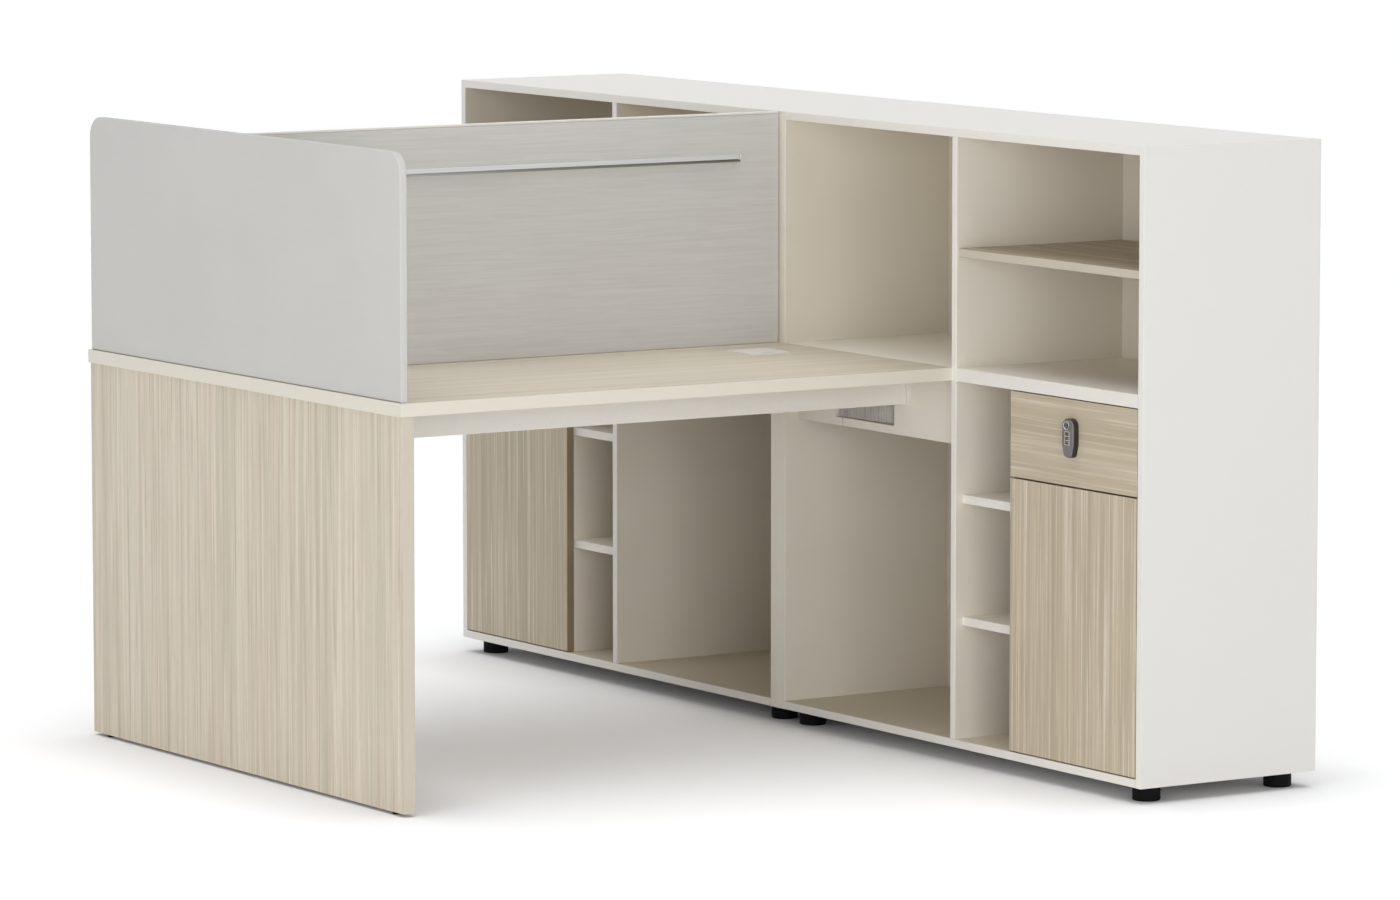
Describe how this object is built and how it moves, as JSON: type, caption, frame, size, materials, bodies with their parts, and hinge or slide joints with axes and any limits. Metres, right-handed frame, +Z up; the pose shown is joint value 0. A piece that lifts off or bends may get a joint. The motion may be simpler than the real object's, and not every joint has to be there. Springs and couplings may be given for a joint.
{
  "type": "office workstation",
  "caption": "Face-to-face desk with a panel leg and low screens, joined to a storage wall with open bays, shelves, a locking drawer and a hinged door in each half.",
  "frame": {"origin": "on the floor, under the middle of the whole footprint", "axes": "+X along the desk towards the storage wall, +Y along the storage wall, +Z up"},
  "size_m": [1.6, 2.4, 1.2],
  "materials": {
    "white_board": "white melamine faced board, satin",
    "ash_board": "ash grain melamine faced board, satin",
    "end_screen_cloth": "plain woven cloth wrapped round a board",
    "centre_screen_cloth": "slubbed woven cloth wrapped round a board",
    "anodised_rail": "clear anodised extrusion",
    "white_steel": "white powder coat",
    "bright_steel": "zinc plated",
    "lock_casting": "dark grey enamel on zinc casting",
    "lock_plastic": "black acetal",
    "foot_plastic": "black moulded plastic",
    "flap_plastic": "white moulded plastic",
    "bristle_nylon": "dark grey nylon bristles in a plastic holder"
  },
  "bodies": {
    "root": {"accessory_rails": "anodised_rail", "cabinet_feet": "foot_plastic", "centre_screen": "centre_screen_cloth", "column_shelves": "white_board", "desk_beams": "white_steel", "desktop": "ash_board", "drawer_runners": "bright_steel", "end_screen": "end_screen_cloth", "far_back_panel": "white_board", "far_bay_partition": "white_board", "far_bottom_panel": "white_board", "far_brush_strip": "bristle_nylon", "far_centre_panel": "white_board", "far_cupboard_partition": "white_board", "far_end_panel": "white_board", "far_flap_frame": "flap_plastic", "far_front_rail": "white_board", "far_mid_bay_panel": "white_board", "far_mid_outer_panel": "white_board", "far_top_panel": "white_board", "hinge_arms": "bright_steel", "leg_glides": "foot_plastic", "leg_panel": "ash_board", "lock_strikes": "bright_steel", "near_back_panel": "white_board", "near_bay_partition": "white_board", "near_bottom_panel": "white_board", "near_brush_strip": "bristle_nylon", "near_centre_panel": "white_board", "near_cupboard_partition": "white_board", "near_end_panel": "white_board", "near_flap_frame": "flap_plastic", "near_front_rail": "white_board", "near_mid_bay_panel": "white_board", "near_mid_outer_panel": "white_board", "near_top_panel": "white_board", "shelf_pins": "bright_steel", "wood_shelves": "ash_board"},
    "far_drawer": {"far_drawer_front": "ash_board", "far_drawer_box": "white_steel", "far_lock_body": "lock_casting"},
    "far_lock_knob": {"far_lock_knob": "lock_casting", "far_lock_cam": "bright_steel"},
    "far_lock_wheel_1": {"far_lock_wheel_1": "lock_plastic"},
    "far_lock_wheel_2": {"far_lock_wheel_2": "lock_plastic"},
    "far_lock_wheel_3": {"far_lock_wheel_3": "lock_plastic"},
    "far_door": {"far_door": "ash_board", "far_hinge_cups": "bright_steel"},
    "far_flap": {"far_flap": "flap_plastic"},
    "near_drawer": {"near_drawer_front": "ash_board", "near_drawer_box": "white_steel", "near_lock_body": "lock_casting"},
    "near_lock_knob": {"near_lock_knob": "lock_casting", "near_lock_cam": "bright_steel"},
    "near_lock_wheel_1": {"near_lock_wheel_1": "lock_plastic"},
    "near_lock_wheel_2": {"near_lock_wheel_2": "lock_plastic"},
    "near_lock_wheel_3": {"near_lock_wheel_3": "lock_plastic"},
    "near_door": {"near_door": "ash_board", "near_hinge_cups": "bright_steel"},
    "near_flap": {"near_flap": "flap_plastic"}
  },
  "joints": [
    {"name": "far_drawer_slide", "type": "slide", "parent": "root", "child": "far_drawer", "axis": [-1, 0, 0], "range_m": [0, 0.25]},
    {"name": "far_door_hinge", "type": "hinge", "parent": "root", "child": "far_door", "pos_m": [0.4, 1.182, 0.304], "axis": [0, 0, -1], "range_deg": [0, 110]},
    {"name": "far_flap_hinge", "type": "hinge", "parent": "root", "child": "far_flap", "pos_m": [0.255, 0.11655, 0.75125], "axis": [1, 0, 0], "range_deg": [0, 90]},
    {"name": "far_lock_turn", "type": "hinge", "parent": "far_drawer", "child": "far_lock_knob", "pos_m": [0.39, 0.9835, 0.677], "axis": [1, 0, 0], "range_deg": [0, 90]},
    {"name": "far_lock_wheel_1_spin", "type": "hinge", "parent": "far_drawer", "child": "far_lock_wheel_1", "pos_m": [0.392, 0.9835, 0.661], "axis": [0, 0, 1], "continuous": true},
    {"name": "far_lock_wheel_2_spin", "type": "hinge", "parent": "far_drawer", "child": "far_lock_wheel_2", "pos_m": [0.392, 0.9835, 0.653], "axis": [0, 0, 1], "continuous": true},
    {"name": "far_lock_wheel_3_spin", "type": "hinge", "parent": "far_drawer", "child": "far_lock_wheel_3", "pos_m": [0.392, 0.9835, 0.645], "axis": [0, 0, 1], "continuous": true},
    {"name": "near_drawer_slide", "type": "slide", "parent": "root", "child": "near_drawer", "axis": [-1, 0, 0], "range_m": [0, 0.25]},
    {"name": "near_door_hinge", "type": "hinge", "parent": "root", "child": "near_door", "pos_m": [0.4, -1.182, 0.304], "axis": [0, 0, 1], "range_deg": [0, 110]},
    {"name": "near_flap_hinge", "type": "hinge", "parent": "root", "child": "near_flap", "pos_m": [0.255, -0.11655, 0.75125], "axis": [-1, 0, 0], "range_deg": [0, 90]},
    {"name": "near_lock_turn", "type": "hinge", "parent": "near_drawer", "child": "near_lock_knob", "pos_m": [0.39, -0.9835, 0.677], "axis": [-1, 0, 0], "range_deg": [0, 90]},
    {"name": "near_lock_wheel_1_spin", "type": "hinge", "parent": "near_drawer", "child": "near_lock_wheel_1", "pos_m": [0.392, -0.9835, 0.661], "axis": [0, 0, 1], "continuous": true},
    {"name": "near_lock_wheel_2_spin", "type": "hinge", "parent": "near_drawer", "child": "near_lock_wheel_2", "pos_m": [0.392, -0.9835, 0.653], "axis": [0, 0, 1], "continuous": true},
    {"name": "near_lock_wheel_3_spin", "type": "hinge", "parent": "near_drawer", "child": "near_lock_wheel_3", "pos_m": [0.392, -0.9835, 0.645], "axis": [0, 0, 1], "continuous": true}
  ]
}
